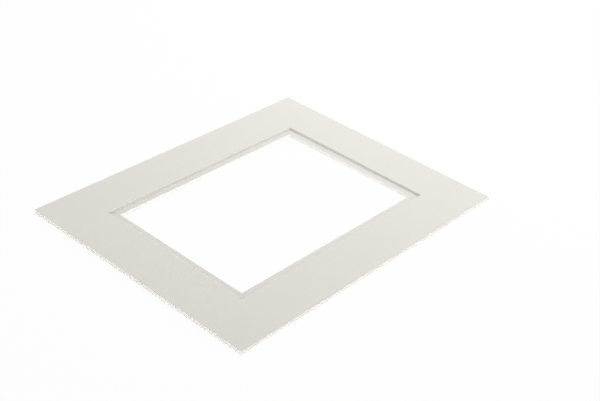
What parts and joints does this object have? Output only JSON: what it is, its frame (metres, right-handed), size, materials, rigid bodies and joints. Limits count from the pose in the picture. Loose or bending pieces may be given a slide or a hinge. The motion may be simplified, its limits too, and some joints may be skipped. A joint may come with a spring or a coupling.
{
  "type": "double picture mount",
  "caption": "Rectangular double picture mount: two off-white boards with bevel-cut windows, the under one showing as a narrow border inside the top one.",
  "frame": {"origin": "middle of the back face, on the surface that the mount lies on", "axes": "+X along the short side, +Y along the long side, +Z out of the face"},
  "size_m": [0.2032, 0.254, 0.003],
  "materials": {
    "mount_board": "matt off-white facing paper over a paper core",
    "double_sided_tape": "thin adhesive-coated tissue"
  },
  "bodies": {
    "root": {"top_mount": "mount_board", "under_mount": "mount_board", "tape_left": "double_sided_tape", "tape_right": "double_sided_tape", "tape_head": "double_sided_tape", "tape_foot": "double_sided_tape"}
  },
  "joints": []
}
